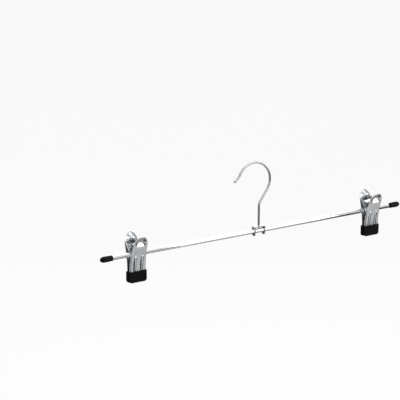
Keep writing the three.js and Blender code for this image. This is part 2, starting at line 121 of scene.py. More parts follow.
@dataclass(frozen=True)
class Finish:
    """One real finish: a base colour, how it shines, and the marks its making leaves."""

    title: str
    colour: str
    tint: str  # the colour where dust, wear or thin plate shows
    metallic: float
    roughness: float
    roughness_spread: float
    marks_mm: float  # size of the fine marks
    marks_height_mm: float
    swell_mm: float  # size of the slow unevenness of the surface
    swell_height_mm: float
    grain: Grain = Grain.EVEN
    specular: float = 0.5

    def material(self) -> bpy.types.Material:
        """The finish as a material, made once and then shared."""
        made = bpy.data.materials.get(self.title)
        return made if made else self._make()

    def _make(self) -> bpy.types.Material:
        """Build the node tree.

        Returns:
            The new material.
        """
        material = bpy.data.materials.new(self.title)
        material.use_nodes = True
        tree = material.node_tree
        tree.nodes.clear()
        place = add_node(tree, "TexCoord").outputs["Object"]
        laid = add_node(tree, "Mapping", {
            "Vector": place, "Scale": self.grain.value}).outputs[0]
        marks = add_node(tree, "TexNoise", {
            "Vector": laid, "Scale": per_metre(self.marks_mm), "Detail": 4.0,
            "Roughness": 0.6}).outputs[0]
        swell = add_node(tree, "TexNoise", {
            "Vector": place, "Scale": per_metre(self.swell_mm), "Detail": 2.0}).outputs[0]
        wear = add_node(tree, "MapRange", {
            "Value": swell, "From Min": 0.35, "From Max": 0.75}).outputs[0]
        colour = add_node(tree, "Mix", {
            "0": wear, "6": linear(self.colour), "7": linear(self.tint)}, data_type="RGBA").outputs[2]
        rough = add_node(tree, "MapRange", {
            "Value": marks, "From Min": 0.3, "From Max": 0.7,
            "To Min": self.roughness - self.roughness_spread,
            "To Max": self.roughness + self.roughness_spread}).outputs[0]
        slow = add_node(tree, "Bump", {
            "Height": swell, "Distance": self.swell_height_mm * MM, "Strength": 1.0}).outputs[0]
        bump = add_node(tree, "Bump", {
            "Height": marks, "Distance": self.marks_height_mm * MM, "Strength": 1.0,
            "Normal": slow}).outputs[0]
        shader = add_node(tree, "BsdfPrincipled", {
            "Base Color": colour, "Metallic": self.metallic, "Roughness": rough,
            "Specular IOR Level": self.specular, "Normal": bump})
        add_node(tree, "OutputMaterial", {"Surface": shader.outputs[0]})
        return material


# Bright decorative chrome over nickel on drawn, bent or pressed steel: a near mirror, a little
# blue, with faint polishing marks. The bar's colour is set the brightest. The wire's colour is set
# darker than chrome, a painted shade that dulls its reflections.
CHROME_BAR = Finish("chrome_plate_on_drawn_bar", "#DADBDC", "#CFD0D2", 1.0, 0.075, 0.02,
                    0.5, 0.0006, 9.0, 0.004, Grain.ALONG_BAR)
# painted shade: this chrome's colour is darkened so the wire's reflections come out grey
CHROME_WIRE_PAINTED_DARKER = Finish("chrome_plate_on_bent_wire_painted_darker", "#A6A8AB", "#9C9EA1", 1.0, 0.09, 0.025,
                     0.5, 0.0006, 6.0, 0.004, Grain.ALONG_STEM)
CHROME_PLATE = Finish("chrome_plate_on_pressed_steel", "#BEC0C2", "#B2B4B6", 1.0, 0.1, 0.03,
                      0.35, 0.0006, 7.0, 0.010)
# Cold-drawn spring wire with a thin nickel flash: warmer and duller than the plates.
SPRING_WIRE = Finish("nickel_flash_on_spring_wire", "#DAD9D6", "#CBCAC7", 1.0, 0.22, 0.05,
                     0.25, 0.001, 3.0, 0.003)
# Dip-moulded soft PVC: deep black, satin, with a faint dimpled skin and slow sags.
DIPPED_VINYL = Finish("dip_moulded_black_vinyl", "#060607", "#0C0C0D", 0.0, 0.36, 0.06,
                      0.3, 0.004, 4.0, 0.03, Grain.EVEN, 0.07)


# ------ meshes


def as_object(bm: Mesh, name: str, material: bpy.types.Material) -> Thing:
    """Turn a bmesh in metres into an object at the origin.

    Args:
        bm: the shape. It is freed.
        name: the object's name.
        material: its material.

    Returns:
        The object, in the scene.
    """
    mesh = bpy.data.meshes.new(name)
    bm.to_mesh(mesh)
    bm.free()
    mesh.materials.append(material)
    made = bpy.data.objects.new(name, mesh)
    bpy.context.scene.collection.objects.link(made)
    return made


def put_in_scene(bm: Mesh, name: str, finish: Finish, body: str) -> Thing:
    """Turn a finished bmesh in millimetres into an object that rides on a body.

    Args:
        bm: the shape, drawn about the bar's middle. It is freed.
        name: the CAD node that the object stands for. The object gets its name and "_look".
        finish: its finish.
        body: the body that it moves with.

    Returns:
        The new object, at the origin, unturned and unscaled.
    """
    bmesh.ops.translate(bm, verts=bm.verts, vec=BAR_MIDDLE)
    bmesh.ops.scale(bm, verts=bm.verts, vec=(MM, MM, MM))
    for face in bm.faces:
        face.smooth = True
    piece = as_object(bm, f"{name}_look", finish.material())
    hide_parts(name)
    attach(piece, body)
    return piece


def soften(piece: Thing, width_mm: float, segments: int = 2, angle: float = 40.0,
           clamp: bool = True) -> None:
    """Round the sharp edges of a piece and keep its flats flat.

    Args:
        piece: the object.
        width_mm: how far the rounding reaches.
        segments: facets round an edge.
        angle: the least angle, in degrees, of an edge that is rounded.
        clamp: let the mesh's shortest edge limit the rounding.
    """
    bevel = piece.modifiers.new("edges", "BEVEL")
    bevel.width = width_mm * MM
    bevel.segments = segments
    bevel.use_clamp_overlap = clamp
    bevel.limit_method = "ANGLE"
    bevel.angle_limit = radians(angle)
    flats = piece.modifiers.new("flats", "WEIGHTED_NORMAL")
    flats.keep_sharp = True
    flats.weight = 100


def thicken(piece: Thing, sheet_mm: float) -> None:
    """Give a piece that is drawn as its outer surface the thickness of its sheet."""
    wall = piece.modifiers.new("wall", "SOLIDIFY")
    wall.thickness, wall.offset, wall.use_even_offset = sheet_mm * MM, -1.0, True


def round_off(bm: Mesh, edges: list[Edge], radius: float, steps: int) -> None:
    """Round some edges of a mesh."""
    bmesh.ops.bevel(bm, geom=edges, offset=radius, offset_type="OFFSET", segments=steps,
                    profile=0.5, affect="EDGES", material=-1)


def edge_loop(bm: Mesh, points: list[Vector]) -> list[Edge]:
    """Draw a closed loop of edges through some points."""
    corners = [bm.verts.new(point) for point in points]
    return [bm.edges.new(pair) for pair in zip(corners, corners[1:] + corners[:1])]


def spokes(steps: int, across: Vector, up: Vector) -> list[Vector]:
    """Directions all the way round, in the plane of two of them."""
    angles = [tau * step / steps for step in range(steps)]
    return [across * cos(angle) + up * sin(angle) for angle in angles]


def turned(profile: list[tuple[float, float]], steps: int) -> Mesh:
    """Spin a profile round the X axis.

    Args:
        profile: (radius, place along X) from one end on the axis to the other.
        steps: facets round the axis.

    Returns:
        The closed solid.
    """
    bm = bmesh.new()
    points = [bm.verts.new((along, 0.0, radius)) for radius, along in profile]
    edges = [bm.edges.new(pair) for pair in zip(points, points[1:])]
    bmesh.ops.spin(bm, geom=points + edges, cent=(0, 0, 0), axis=(1, 0, 0), angle=tau,
                   steps=steps, use_merge=True)
    bmesh.ops.remove_doubles(bm, verts=bm.verts, dist=TINY)
    bmesh.ops.recalc_face_normals(bm, faces=bm.faces)
    return bm


class WireRun:
    """A round wire, grown ring by ring along straights and bends."""

    def __init__(self, centre: Vector, heading: Vector, radius: float, sides: int = 24) -> None:
        """Start the wire with one ring.

        Args:
            centre: the first ring's centre.
            heading: the direction in which the wire grows.
            radius: the first ring's radius.
            sides: facets round the wire.
        """
        self.bm = bmesh.new()
        self.centre, self.heading, self.radius = centre.copy(), heading.normalized(), radius
        matrix = Matrix.Translation(centre) @ heading.to_track_quat("Z", "Y").to_matrix().to_4x4()
        bmesh.ops.create_circle(self.bm, cap_ends=False, radius=radius, segments=sides, matrix=matrix)
        self.ring = list(self.bm.edges)

    def straight(self, length: float, radius: float | None = None) -> None:
        """Grow by a straight or a taper.

        Args:
            length: how far the wire goes on.
            radius: the radius at its end, if it changes.
        """
        grown = bmesh.ops.extrude_edge_only(self.bm, edges=self.ring)["geom"]
        corners = [part for part in grown if isinstance(part, Vert)]
        self.ring = [part for part in grown if isinstance(part, Edge)
                     and all(corner in corners for corner in part.verts)]
        bmesh.ops.translate(self.bm, verts=corners, vec=self.heading * length)
        self.centre += self.heading * length
        if radius is not None:
            share = radius / self.radius
            bmesh.ops.scale(self.bm, verts=corners, vec=(share, share, share),
                            space=Matrix.Translation(-self.centre))
            self.radius = radius

    def bend(self, pivot: Vector, axis: Vector, angle: float, steps: int,
             climb: Vector | None = None) -> None:
        """Grow round a bend or a coil.

        Args:
            pivot: a point on the bend's axis.
            axis: the axis, by the right-hand rule.
            angle: how far it turns, in radians.
            steps: segments of the bend.
            climb: how far a coil moves along its axis in all.
        """
        each = (climb or Vector()) / steps
        grown = bmesh.ops.spin(self.bm, geom=self.ring, cent=pivot, axis=axis, dvec=each,
                               angle=angle, steps=steps)["geom_last"]
        self.ring = [part for part in grown if isinstance(part, Edge)]
        turn = Matrix.Rotation(angle, 3, axis)
        self.centre = pivot + turn @ (self.centre - pivot) + (climb or Vector())
        self.heading = turn @ self.heading

    def finished(self) -> Mesh:
        """Close both ends and point the faces outwards.

        Returns:
            The closed wire.
        """
        ends = [edge for edge in self.bm.edges if edge.is_boundary]
        bmesh.ops.holes_fill(self.bm, edges=ends, sides=0)
        bmesh.ops.recalc_face_normals(self.bm, faces=self.bm.faces)
        return self.bm


# ------ bar, tips, hook and bracket


@dataclass
class Crossbar:
    """The round chromed bar. It runs into both tips."""

    radius: float = 2.5
    shown: float = 371.0
    grip: float = 11.0
    chamfer: float = 0.5
    facets: int = 96

    def build(self) -> Thing:
        """Spin the bar with its chamfered ends.

        Returns:
            The bar.
        """
        half, edge = self.shown / 2 + self.grip, self.chamfer
        bm = turned([(0, -half), (self.radius - edge, -half), (self.radius, edge - half),
                     (self.radius, half - edge), (self.radius - edge, half), (0, half)], self.facets)
        return put_in_scene(bm, "crossbar", CHROME_BAR, "bar")


@dataclass
class Tip:
    """A club-shaped vinyl tip, hollow over the bar's end."""

    side: int  # -1 on the left, 1 on the right
    bar: Crossbar
    length: float = 14.5
    mouth_radius: float = 2.95
    full_radius: float = 3.25
    full_at: float = 9.5
    lip: float = 0.12
    bore_gap: float = 0.1
    end_gap: float = 0.3
    swell_steps: int = 8
    round_steps: int = 14
    facets: int = 64

    def build(self) -> Thing:
        """Spin the tip's outside and its bore.

        Returns:
            The tip.
        """
        bore, deep = self.bar.radius + self.bore_gap, self.bar.grip + self.end_gap
        profile = [(0.0, deep), (bore, deep), (bore, self.lip), (bore + self.lip, 0.0),
                   (self.mouth_radius - self.lip, 0.0), (self.mouth_radius, self.lip)]
        swell = self.full_radius - self.mouth_radius
        for step in range(1, self.swell_steps + 1):
            share = step / self.swell_steps
            radius = self.mouth_radius + swell * sin(share * pi / 2)
            profile.append((radius, self.full_at * share))
        end = self.length - self.full_at
        for step in range(1, self.round_steps + 1):
            angle = step / self.round_steps * pi / 2
            profile.append((self.full_radius * cos(angle), self.full_at + end * sin(angle)))
        placed = [(radius, self.side * (self.bar.shown / 2 + along)) for radius, along in profile]
        bm = turned(placed, self.facets)
        name = "left_tip" if self.side < 0 else "right_tip"
        return put_in_scene(bm, name, DIPPED_VINYL, "bar")


@dataclass
class Bracket:
    """The folded saddle on the bar that carries the hook."""

    bar: Crossbar
    length: float = 14.0
    width: float = 6.6
    sheet: float = 1.0
    top: float = 5.6
    drop: float = 5.5
    bend: float = 1.8
    edge: float = 0.14
    stem_hole: float = 1.55
    bar_gap: float = 0.1
    bend_steps: int = 8
    round_steps: int = 20
    hole_steps: int = 40

    def _tab(self, bm: Mesh, side: int, fold: Edge) -> None:
        """Fold one end of the top down and fill the tab round the bar.

        Args:
            bm: the bracket so far.
            side: 1 for the right end, -1 for the left one.
            fold: the top's edge at that end.
        """
        half = self.width / 2
        pivot = Vector((side * (self.length / 2 - self.bend), 0, self.top - self.bend))
        spun = bmesh.ops.spin(bm, geom=[fold], cent=pivot, axis=(0, 1, 0), angle=side * pi / 2,
                              steps=self.bend_steps)["geom_last"]
        front, back = sorted((part for part in spun if isinstance(part, Vert)), key=lambda v: v.co.y)
        edge = next(part for part in spun if isinstance(part, Edge))
        plane = front.co.x
        arc = []
        for step in range(self.round_steps + 1):
            angle = step / self.round_steps * pi
            arc.append(bm.verts.new((plane, -half * cos(angle),
                                     half - self.drop - half * sin(angle))))
        chain = [front, *arc, back]
        tab = [edge, *(bm.edges.new(pair) for pair in zip(chain, chain[1:]))]
        radius = self.bar.radius + self.bar_gap
        tab += edge_loop(bm, [X * plane + spoke * radius for spoke in spokes(self.hole_steps, Y, Z)])
        bmesh.ops.triangle_fill(bm, use_beauty=True, edges=tab, normal=(side, 0, 0))

    def build(self) -> Thing:
        """Fill the top with its stem hole, fold the edges down, and fill the tabs round the bar.

        Returns:
            The bracket.
        """
        bm = bmesh.new()
        half, reach = self.width / 2, self.length / 2 - self.bend
        edges = edge_loop(bm, [Vector((x, y, self.top)) for x, y in (
            (reach, -half), (reach, half), (-reach, half), (-reach, -half))])
        right, left = edges[0], edges[2]
        edges += edge_loop(bm, [Z * self.top + spoke * self.stem_hole
                                for spoke in spokes(self.hole_steps, X, Y)])
        bmesh.ops.triangle_fill(bm, use_beauty=True, edges=edges, normal=(0, 0, 1))
        self._tab(bm, 1, right)
        self._tab(bm, -1, left)
        bmesh.ops.recalc_face_normals(bm, faces=bm.faces)
        if sum(face.normal.z * face.calc_area() for face in bm.faces) < 0:
            bmesh.ops.reverse_faces(bm, faces=bm.faces)
        piece = put_in_scene(bm, "hook_bracket", CHROME_PLATE, "bar")
        thicken(piece, self.sheet)
        soften(piece, self.edge, 3)
        return piece


@dataclass
class Hook:
    """The bent wire: headed stem, round bend, short flare and a rounded tip."""

    bracket: Bracket
    wire: float = 1.25
    radius: float = 21.0
    centre: tuple[float, float] = (-6.7, 57.9)
    turn_z: float = 31.0
    bend_radius: float = 9.0
    end_angle: float = 155.0
    flare_radius: float = 12.0
    flare_angle: float = 35.0
    flare_end: float = 1.3
    tip_radius: float = 1.6
    tip_close: float = 0.02  # radius of the last ring, which is filled
    head_radius: float = 2.3
    head_height: float = 1.0
    head_gap: float = 0.3
    head_edge: float = 0.15
    bend_steps: tuple = (14, 96, 18)  # of the stem's bend, the round bend and the flare
    tip_steps: int = 12

    def build(self) -> Thing:
        """Grow the wire from the head under the bracket to the tip.

        Returns:
            The hook.
        """
        head_top = self.bracket.top - self.bracket.sheet - self.head_gap
        edge = self.head_edge
        run = WireRun(Z * (head_top - self.head_height), Z, self.head_radius - edge)
        run.straight(edge, self.head_radius)
        run.straight(self.head_height - 2 * edge)
        run.straight(edge, self.head_radius - edge)
        run.straight(TINY, self.wire)
        run.straight(edge)  # keeps the shading of the head's edge off the stem
        away = Vector((self.centre[0], self.centre[1] - self.turn_z))
        slant = atan2(away.y, away.x) - asin(self.radius / away.length)
        turn = pi / 2 - slant
        stem_steps, round_steps, flare_steps = self.bend_steps
        bend_z = self.turn_z - self.bend_radius * tan(turn / 2)
        run.straight(bend_z - run.centre.z)
        upright = -Y  # turns from X towards Z
        run.bend(Vector((self.bend_radius, 0, bend_z)), upright, -turn, stem_steps)
        middle = Vector((self.centre[0], 0, self.centre[1]))
        start = slant - pi / 2
        meet = middle + self.radius * Vector((cos(start), 0, sin(start)))
        run.straight((meet - run.centre).length)
        end = radians(self.end_angle)
        run.bend(middle, upright, end - start, round_steps)
        outer = middle + (self.radius + self.flare_radius) * Vector((cos(end), 0, sin(end)))
        run.bend(outer, upright, -radians(self.flare_angle), flare_steps)
        self._round_tip(run)
        return put_in_scene(run.finished(), "hook", CHROME_WIRE_PAINTED_DARKER, "hook")

    def _round_tip(self, run: WireRun) -> None:
        """Swell the wire's end into the ball that finishes it.

        Args:
            run: the wire, at the end of its flare.
        """
        start = pi - asin(self.wire / self.tip_radius)
        back = self.tip_radius * cos(start)
        run.straight(self.flare_end + back)
        place = back
        for step in range(1, self.tip_steps + 1):
            angle = start * (1 - step / self.tip_steps)
            ahead, ring = self.tip_radius * cos(angle), self.tip_radius * sin(angle)
            run.straight(ahead - place, max(ring, self.tip_close))
            place = ahead


# ------ clips


class Facing(Enum):
    """Which way a plate of a clip faces."""

    FRONT = 1
    BACK = -1


@dataclass
class PlateShape:
    """The sizes of a pressed clip plate, and its surface as formulas of height."""

    sheet: float = 0.8
    fold: float = 1.3
    handle_width: float = 17.6
    handle_top: float = 22.0
    handle_round: float = 13.0
    round_angle: float = 84.0
    top_depth: float = 13.4
    handle_rim: float = 1.7
    jaw_width: float = 19.6
    jaw_bottom: float = 30.6
    jaw_corner: float = 2.2
    jaw_dish: float = 1.7
    straight_top: float = 18.0
    ear_radius: float = 4.3
    ear_lower: float = 8.0
    ear_upper: float = 13.0
    curve_shares: tuple = ((0.33, 0.05), (0.67, 0.5))
    thumb_z: float = 14.1
    thumb_radius: float = 6.6
    thumb_foot: float = 8.1  # height at which the dish's floor leaves the face
    thumb_slopes: tuple = (0.5, 1.0)  # of the dish's upright floor and of its round wall
    thumb_narrowing: tuple = (0.99, 0.035)  # height to width, and its growth per mm of height
    thumb_blends: tuple = (0.9, 0.7)  # roundness between the two, and at the rim
    rib_spacing: float = 8.2
    rib_half: float = 1.75
    rib_rise: float = 0.75
    rib_top: float = 3.2
    sleeve_wall: float = 0.6
    sleeve_gap: float = 0.15
    sleeve_height: float = 12.5
    grip_gap: float = 0.3
    bar_hole: float = 2.8
    ear_shift: float = 0.55
    rib_bead: float = 0.85  # share of a rib's half width, the rest is its fillet
    rib_start: float = 0.15  # above the sleeve
    rib_fade: float = 0.9
    curve_end: float = 1.05  # a little past the handle's top
    curve_halvings: int = 30
    rim_start: float = 1.0  # below the jaw
    corner_steps: int = 8
    jaw_steps: int = 18
    side_steps: int = 110
    round_steps: int = 60
    ear_steps: int = 32
    handle_steps: int = 24

    def __post_init__(self) -> None:
        """Work out the depths that follow from the sizes, and the rim's edge."""
        self.grip = self.grip_gap / 2
        self.rim_jaw = self.grip + self.sleeve_wall + self.sleeve_gap
        self.face_jaw = self.rim_jaw + self.jaw_dish
        self.sleeve_front = self.face_jaw + self.sleeve_gap + self.sleeve_wall
        self.reach = self.sleeve_gap + self.sleeve_wall
        self.sleeve_top = -(self.jaw_bottom + self.reach - self.sleeve_height)
        self.round_z = self.handle_top - self.handle_round
        self.rim = self._rim_line()

    def face_depth(self, z: float) -> float:
        """Depth of the face in front of the bar's centre line.

        Args:
            z: the height.

        Returns:
            The jaw's even depth, or that of the handle's cubic curve above it.
        """
        if z <= -self.straight_top:
            return self.face_jaw
        rise, lean = self.handle_top + self.straight_top, self.top_depth - self.face_jaw
        (up1, out1), (up2, out2) = self.curve_shares
        low, high = 0.0, self.curve_end
        for _ in range(self.curve_halvings):
            t = (low + high) / 2
            s = 1 - t
            if -self.straight_top + rise * (3 * s * s * t * up1 + 3 * s * t * t * up2 + t ** 3) < z:
                low = t
            else:
                high = t
        return self.face_jaw + lean * (3 * s * s * t * out1 + 3 * s * t * t * out2 + t ** 3)

    def rib(self, x: float, z: float) -> float:
        """How far a pressed rib with its round head stands out of the face.

        Args:
            x: the place across the plate.
            z: the height.

        Returns:
            The rise there, 0 beside the ribs.
        """
        fade = min(max((z - self.sleeve_top - self.rib_start) / self.rib_fade, 0.0), 1.0)
        across = hypot(abs(x) - self.rib_spacing / 2, max(z + self.rib_top, 0.0)) / self.rib_half
        flat, tail = self.rib_bead, 1 / self.rib_bead
        if across < flat:
            rise = 1 - across ** 2
        else:
            rise = flat / (tail - flat) * max(tail - across, 0.0) ** 2
        return self.rib_rise * rise * fade * fade * (3 - 2 * fade)

    def dish(self, x: float, z: float) -> float:
        """How far the round thumb dish is pressed into the face.

        Args:
            x: the place across the plate.
            z: the height.

        Returns:
            The lesser of floor and wall, blended where they meet, with a soft rim.
        """
        floor = self.thumb_slopes[0] * (z - self.thumb_foot)
        squash, growth = self.thumb_narrowing
        up = z - self.thumb_z
        across = hypot(x * (squash + growth * up), up)
        wall = self.thumb_slopes[1] * (self.thumb_radius - across)
        corner, rim = self.thumb_blends
        depth = max((floor + wall - hypot(floor - wall, corner)) / 2, 0.0)
        return depth * depth / (2 * rim) if depth < rim else depth - rim / 2

    def side_half(self, z: float) -> float:
        """Half width of the plate at a height below the handle's round end."""
        share = min(max((z + self.straight_top) / (self.round_z + self.straight_top), 0.0), 1.0)
        return (self.jaw_width + (self.handle_width - self.jaw_width) * share) / 2

    def rim_depth(self, z: float) -> float:
        """Depth of the rim's edge.

        Args:
            z: the height.

        Returns:
            The depth, between the two nearest points of the rim.
        """
        for (z0, d0), (z1, d1) in zip(self.rim, self.rim[1:]):
            if z <= z1:
                return d0 + (d1 - d0) * (z - z0) / (z1 - z0)
        return self.rim[-1][1]

    def _rim_line(self) -> list[tuple[float, float]]:
        """The side view of the rim: up the jaw, out round the ear and up the handle.

        Returns:
            Height and depth of each point, bottom to top.
        """
        lower = Vector((-self.ear_lower, self.rim_jaw))
        upper = Vector((self.ear_upper, self.face_depth(self.ear_upper) - self.handle_rim))
        start = atan2(lower.y, lower.x) + acos(self.ear_radius / lower.length)
        stop = atan2(upper.y, upper.x) - acos(self.ear_radius / upper.length) + tau
        line = [(-self.jaw_bottom - self.rim_start, self.rim_jaw), (lower.x, lower.y)]
        for step in range(self.ear_steps + 1):
            angle = start + (stop - start) * step / self.ear_steps
            line.append((self.ear_radius * cos(angle), self.ear_radius * sin(angle)))
        climb = self.handle_top + NEAR - self.ear_upper
        for step in range(1, self.handle_steps + 1):
            z = self.ear_upper + climb * step / self.handle_steps
            line.append((z, self.face_depth(z) - self.handle_rim))
        return line

    def outline(self) -> list[tuple[Vector, Vector]]:
        """The right half of the outline, bottom to top.

        Returns:
            Each point and its outward direction, in X and Z.
        """
        points = []
        half, corner = self.jaw_width / 2, self.jaw_corner
        for step in range(self.corner_steps + 1):
            angle = radians(-90 + 90 * step / self.corner_steps)
            out = Vector((cos(angle), sin(angle)))
            points.append((Vector((half - corner, corner - self.jaw_bottom)) + out * corner, out))
        level = corner - self.jaw_bottom
        for step in range(1, self.jaw_steps + 1):
            z = level + (-self.straight_top - level) * step / self.jaw_steps
            points.append((Vector((half, z)), Vector((1, 0))))
        climb = self.round_z + self.straight_top
        slope = (self.jaw_width - self.handle_width) / 2 / climb
        for step in range(1, self.side_steps + 1):
            z = -self.straight_top + climb * step / self.side_steps
            points.append((Vector((self.side_half(z), z)), Vector((1, slope)).normalized()))
        for step in range(1, self.round_steps + 1):
            angle = radians(self.round_angle * step / self.round_steps)
            points.append(self.on_round(cos(angle)))
        return points

    def on_round(self, share: float) -> tuple[Vector, Vector]:
        """Point and outward direction on the handle's round end, at a share of its half width."""
        half, up = self.handle_width / 2, sqrt(max(1 - share * share, 0.0))
        return (Vector((half * share, self.round_z + self.handle_round * up)),
                Vector((share / half, up / self.handle_round)).normalized())


class PlateMesh:
    """Presses one plate out of a grid: face, ribs, thumb dish, fold, side walls and ears."""

    columns: int = 42  # from the middle to one side
    fold_steps: int = 6
    wall_rows: int = 14
    rim_row: float = 0.14  # the last of them, left wide enough for the rim's rounding
    hole_steps: int = 48
    hole_margin: float = 0.12  # round the bar's hole, where the grid is cut back
    wall_margin: float = 0.6  # inside the handle's width, where a side wall begins
    weld: float = 0.0005
    before_jaw: Vector = Vector((0, -5, -12))  # the face nearest to it looks forwards

    def __init__(self, shape: PlateShape) -> None:
        """Draw the flat grid inside the outline.

        Args:
            shape: the plate's sizes.
        """
        self.shape = shape
        self.rows = shape.outline()
        self.bm = bmesh.new()
        self.foot = self.bm.verts.layers.float_vector.new("foot")
        self.out = self.bm.verts.layers.float_vector.new("out")

    def build(self) -> Mesh:
        """Make the sheet's outer surface, as the front plate's at the bar's middle.

        Returns:
            An open surface with its faces outwards. Solidify gives it its thickness.
        """
        self._face()
        self._walls()
        self._cut_ears()
        bm = self.bm
        bmesh.ops.remove_doubles(bm, verts=bm.verts, dist=self.weld)
        bmesh.ops.recalc_face_normals(bm, faces=bm.faces)
        front = min(bm.faces, key=lambda face: (face.calc_center_median() - self.before_jaw).length)
        if front.normal.y > 0:
            bmesh.ops.reverse_faces(bm, faces=bm.faces)
        return bm

    def _at(self, x: float, z: float) -> Vector:
        """The point on the face at x and z."""
        shape = self.shape
        return Vector((x, shape.dish(x, z) - shape.face_depth(z) - shape.rib(x, z), z))

    def _face(self) -> None:
        """Shape a grid to the outline less the fold."""
        bm, shape, last = self.bm, self.shape, len(self.rows) - 1
        bmesh.ops.create_grid(bm, x_segments=2 * self.columns, y_segments=last, size=1.0)
        for vert in bm.verts:
            share, row = vert.co.x, round((vert.co.y + 1) / 2 * last)
            point, out = self.rows[row]
            if row == last:
                point, out = shape.on_round(abs(share) * point.x / (shape.handle_width / 2))
                foot = Vector((copysign(point.x, share), point.y))
                out = Vector((copysign(out.x, share), out.y))
            elif row == 0:
                foot, out = Vector((share * point.x, point.y)), Vector((0, -1))
            else:
                foot, out = Vector((share * point.x, point.y)), Vector((share * out.x, out.y))
            x, z = foot - out * shape.fold
            vert.co = self._at(x, z)
            vert[self.foot] = (foot.x, 0, foot.y)
            vert[self.out] = (out.x, 0, out.y)

    def _grow(self, edges: list[Edge], place: Placer) -> list[Edge]:
        """Extrude a loop of edges by one ring.

        Args:
            edges: the loop.
            place: where each new corner goes.

        Returns:
            The new loop.
        """
        grown = bmesh.ops.extrude_edge_only(self.bm, edges=edges)["geom"]
        corners = {part for part in grown if isinstance(part, Vert)}
        for corner in corners:
            corner.co = place(corner)
        return [part for part in grown if isinstance(part, Edge)
                and part.verts[0] in corners and part.verts[1] in corners]

    def _walls(self) -> None:
        """Fold the edge back and run the walls to the rim."""
        shape = self.shape
        loop = [edge for edge in self.bm.edges if edge.is_boundary]

        def folded(angle: float) -> Placer:
            """Placer for a ring of the fold."""
            def place(vert: Vert) -> Vector:
                """Corner of that ring."""
                spot = vert[self.foot] - vert[self.out] * shape.fold * (1 - sin(angle))
                depth = shape.face_depth(spot.z) - shape.fold * (1 - cos(angle))
                return Vector((spot.x, -depth, spot.z))
            return place

        def walled(share: float, short: float) -> Placer:
            """Placer for a row of the wall, at a share of its way to just short of the rim."""
            def place(vert: Vert) -> Vector:
                """Corner of that row."""
                spot = vert[self.foot]
                start = shape.face_depth(spot.z) - shape.fold
                depth = start + (shape.rim_depth(spot.z) + short - start) * share
                return Vector((spot.x, -depth, spot.z))
            return place

        for step in range(1, self.fold_steps + 1):
            loop = self._grow(loop, folded(step / self.fold_steps * pi / 2))
        for row in range(1, self.wall_rows):
            loop = self._grow(loop, walled(row / (self.wall_rows - 1), self.rim_row))
        self._grow(loop, walled(1.0, 0.0))

    def _cut_ears(self) -> None:
        """Cut the bar's hole, with a clean edge, in both side walls."""
        bm, shape, radius = self.bm, self.shape, self.shape.bar_hole

        def near(spot: Vector) -> bool:
            """True for a point inside the bar's hole or close round it."""
            return spot.y ** 2 + spot.z ** 2 < (radius + self.hole_margin) ** 2

        def on_wall(spot: Vector, side: int) -> bool:
            """True for a point on that side's wall."""
            return (spot.x * side > shape.handle_width / 2 - self.wall_margin
                    and -spot.y < shape.face_depth(spot.z) - shape.fold)

        for side in (-1, 1):
            gone = [face for face in bm.faces if on_wall(face.calc_center_median(), side)
                    and any(near(vert.co) for vert in face.verts)]
            before = {edge for edge in bm.edges if edge.is_boundary}
            bmesh.ops.delete(bm, geom=gone, context="FACES")
            stairs = [edge for edge in bm.edges if edge.is_boundary and edge not in before]
            ring = [spoke * radius + X * (side * shape.side_half(spoke.z * radius))
                    for spoke in spokes(self.hole_steps, Y, Z)]
            bmesh.ops.triangle_fill(bm, use_beauty=True, edges=stairs + edge_loop(bm, ring),
                                    normal=X * side)


@dataclass
class ClipPlate:
    """One plate of a clip. The back plate is the front one turned round."""

    side: str
    x: float
    facing: Facing
    shape: PlateShape
    edge: float = 0.05

    def turn(self) -> Matrix:
        """From the front plate at the bar's middle to this one's place.

        Returns:
            The matrix, which turns the back plate half round.
        """
        shift = self.facing.value * self.shape.ear_shift
        half_turn = Matrix.Rotation(0.0 if self.facing is Facing.FRONT else pi, 4, "Z")
        return Matrix.Translation((self.x + shift, 0, 0)) @ half_turn

    def build(self) -> Thing:
        """Press the plate and dress it.

        Returns:
            The plate.
        """
        bm = PlateMesh(self.shape).build()
        bmesh.ops.transform(bm, matrix=self.turn(), verts=bm.verts)
        body = f"{self.side}_{self.facing.name.lower()}"
        piece = put_in_scene(bm, f"{body}_jaw", CHROME_PLATE, body)
        thicken(piece, self.shape.sheet)
        soften(piece, self.edge, angle=50.0, clamp=False)
        return piece


